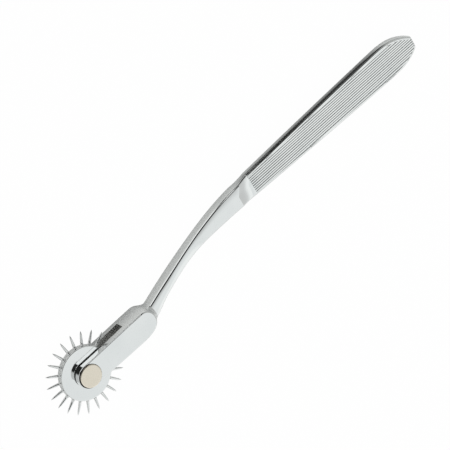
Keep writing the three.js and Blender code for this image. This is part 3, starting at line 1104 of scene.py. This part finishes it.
def grip_shadow_share(tree, x, y):
    """How much painted shadow a place on the floor gets: 0 outside it, and close to 1 inside it."""
    reach = calculated(tree, "MULTIPLY", calculated(tree, "SUBTRACT", x, grip_shadow_start_x), grip_shadow_start_slope)
    inside = calculated(tree, "SUBTRACT", calculated(tree, "ADD", reach, grip_shadow_start_y), y)
    after_start = ranged(tree, inside, 0.0, grip_shadow_cover, 0.0, grip_shadow_start_blur)
    out = calculated(tree, "SUBTRACT", y, grip_shadow_side_y)
    off_grip = calculated(tree, "SUBTRACT", out, calculated(tree, "MULTIPLY", x, grip_shadow_side_slope))
    beside_grip = ranged(tree, off_grip, grip_shadow_side_cover, 1.0, *grip_shadow_side_blur)
    leaning = calculated(tree, "SUBTRACT", x, calculated(tree, "MULTIPLY", out, grip_shadow_end_lean))
    before_end = ranged(tree, leaning, 1.0, 0.0, *grip_shadow_end_blur)
    covered = calculated(tree, "MULTIPLY", after_start, beside_grip)
    return calculated(tree, "MULTIPLY", covered, before_end)


print(f"card from {grip_shadow_start_x / mm:.0f} to {grip_shadow_end_blur[1] / mm:.0f} mm along the grip")

# %% Floor
floor_size = 6.0
floor_drop = 0.05 * mm
paper_colour = (0.74, 0.745, 0.73)
white = (1, 1, 1)
grip_shadow_colour = (0.02, 0.02, 0.02)
white_to_camera = 0.985
white_to_metal = 0.1


def floor_paper():
    material, tree, place = new_material("floor_paper")
    paper = add_node(tree, "ShaderNodeBsdfDiffuse", {"Color": (*paper_colour, 1)})
    path = add_node(tree, "ShaderNodeLightPath").outputs
    seen = calculated(tree, "MULTIPLY", path["Is Camera Ray"], white_to_camera)
    mirrored = calculated(tree, "MULTIPLY", path["Is Glossy Ray"], white_to_metal)
    whitened = calculated(tree, "ADD", seen, mirrored)
    sheet = mixed(tree, whitened, paper.outputs["BSDF"], glow(tree, white))
    x, y, _ = parted(tree, place)
    # Painted shadow beside the grip, mixed in for glossy rays only
    grip_shadow = calculated(tree, "MULTIPLY", path["Is Glossy Ray"], grip_shadow_share(tree, x, y))
    surface = mixed(tree, grip_shadow, sheet, glow(tree, grip_shadow_colour))
    add_node(tree, "ShaderNodeOutputMaterial", {"Surface": surface})
    return material


floor_corners = [(-1, -1), (1, -1), (1, 1), (-1, 1)]
floor_points = [(x * floor_size / 2, y * floor_size / 2, -floor_drop) for x, y in floor_corners]
floor = mesh_object("floor", floor_points, [(0, 1, 2, 3)])
floor.data.materials.append(floor_paper())
print("floor", floor_size, "m")

# %% [markdown]
# ## Studio
# Polished metal shows the studio more than itself. The photograph's studio is plain and soft white, with a
# dark ceiling and a dark room beyond. Those draw the thin black lines along the polished edges. A narrow
# bright window stands in the dark, and the walls past the two ends of the instrument are light grey. A
# mirror shows the light from one direction, so the studio can be painted on the world by direction alone,
# and each layer covers part of those before it. A direction has three parts here: along the handle to its
# tail, across it to the side that the neck rises to, and up.

# %% World
key_side = Vector((0.05, -0.62, 0.78)).normalized()
low_side = Vector((-0.1, -0.95, 0.3)).normalized()
tail_side = Vector((0.85, -0.3, 0.43)).normalized()
beyond_tail = Vector((0.95, 0.2, 0.1)).normalized()
first_light = (0.58, 0.59, 0.58)
grey_wall = (0.62, 0.63, 0.62)
black_room = (0.03, 0.031, 0.03)
camera_white = (0.985, 0.985, 0.985)


def studio_world():
    world = bpy.data.worlds.new("studio")
    world.use_nodes = True
    tree = world.node_tree
    tree.nodes.clear()
    place = add_node(tree, "ShaderNodeTexCoord").outputs["Generated"]
    path = add_node(tree, "ShaderNodeLightPath")
    along, across, up = parted(tree, place)

    def ramp(value, start, end):
        """0 up to start and 1 from end on, with a soft change between. Either may be the larger."""
        inputs = {"Value": value, "From Min": start, "From Max": end}
        return add_node(tree, "ShaderNodeMapRange", inputs, interpolation_type="SMOOTHSTEP").outputs["Result"]

    def facing(direction, start, end):
        """0 where the cosine to a direction is below start, 1 where it is above end."""
        return ramp(vector_math(tree, "DOT_PRODUCT", place, tuple(direction))["Value"], start, end)

    def both(first, second):
        return calculated(tree, "MULTIPLY", first, second)

    dark_border = blended(tree, ramp(along, 0.3, 0.33), (0.32, 0.325, 0.32), (0.5, 0.51, 0.5))
    ceiling_lit = both(ramp(across, 0.8, 0.88), ramp(along, 0.12, 0.03))
    ceiling = blended(tree, ceiling_lit, (0.02, 0.021, 0.02), (1.05, 1.06, 1.05))
    room = blended(tree, ramp(across, 0.2, 0.5), (0.45, 0.46, 0.45), black_room)
    dark_side = blended(tree, ramp(along, 0.295, 0.32), ceiling, room)
    left_wall = both(ramp(along, -0.3, -0.42), ramp(across, 0.32, 0.16))
    window = both(both(ramp(along, 0.12, 0.19), ramp(along, 0.27, 0.23)), ramp(across, 0.4, 0.5))
    window_light = blended(tree, ramp(up, 0.8, 0.55), (1.08, 1.1, 1.09), (0.95, 0.95, 0.94))
    window_light = blended(tree, ramp(up, 0.55, 0.42), window_light, black_room)
    layers = [
        (facing(key_side, 0.80, 0.95), (0.83, 0.855, 0.85)),  # large soft light above the instrument
        (ramp(along, 0.305, 0.335), (0.96, 0.98, 0.965)),  # white wall towards the tail
        (ramp(along, 0.40, 0.55), (0.75, 0.765, 0.76)),  # its far end, less lit
        (ramp(along, -0.15, -0.25), (1.05, 1.07, 1.06)),  # white wall beyond the wheel
        (facing(low_side, 0.82, 0.97), (1.0, 1.01, 1.0)),  # white card low on the near side
        (facing(tail_side, 0.80, 0.95), grey_wall),
        (ramp(across, -0.44, -0.08), dark_border),
        (ramp(across, -0.19, -0.05), dark_side),
        (left_wall, grey_wall),
        (ramp(along, -0.55, -0.68), grey_wall),  # the last of the wall beyond the wheel
        (facing(beyond_tail, 0.6, 0.8), (0.42, 0.43, 0.42)),
        (window, window_light),
        (path.outputs["Is Camera Ray"], camera_white),
    ]
    colour = first_light
    for share, light in layers:
        colour = blended(tree, share, colour, light)
    background = add_node(tree, "ShaderNodeBackground", {"Color": colour, "Strength": 1.0})
    add_node(tree, "ShaderNodeOutputWorld", {"Surface": background.outputs["Background"]})
    return world


bpy.context.scene.world = studio_world()
print("studio world of", len(bpy.context.scene.world.node_tree.nodes), "nodes")

# %% [markdown]
# One wide soft lamp lifts the paper to white and gives the instrument its faint shadow. The metal doesn't
# mirror it, or it would leave a round spot on every curve. The colours are shown as they are, without the
# film look that Blender starts with.

# %% Lamp
lamp_size = 1.6
lamp_power = 9.0
lamp_place = Vector((0.1, -0.2, 1.3))
lamp_target = Vector((0.05, 0, 0))
lamp_data = bpy.data.lights.new("soft_lamp", "AREA")
lamp_data.shape = "DISK"
lamp_data.size = lamp_size
lamp_data.energy = lamp_power
lamp = bpy.data.objects.new("soft_lamp", lamp_data)
lamp.location = lamp_place
lamp.rotation_euler = (lamp_target - lamp_place).to_track_quat("-Z", "Y").to_euler()
lamp.visible_glossy = False
bpy.context.scene.collection.objects.link(lamp)
bpy.context.scene.view_settings.view_transform = "Standard"
print("lamp", lamp_power, "W")
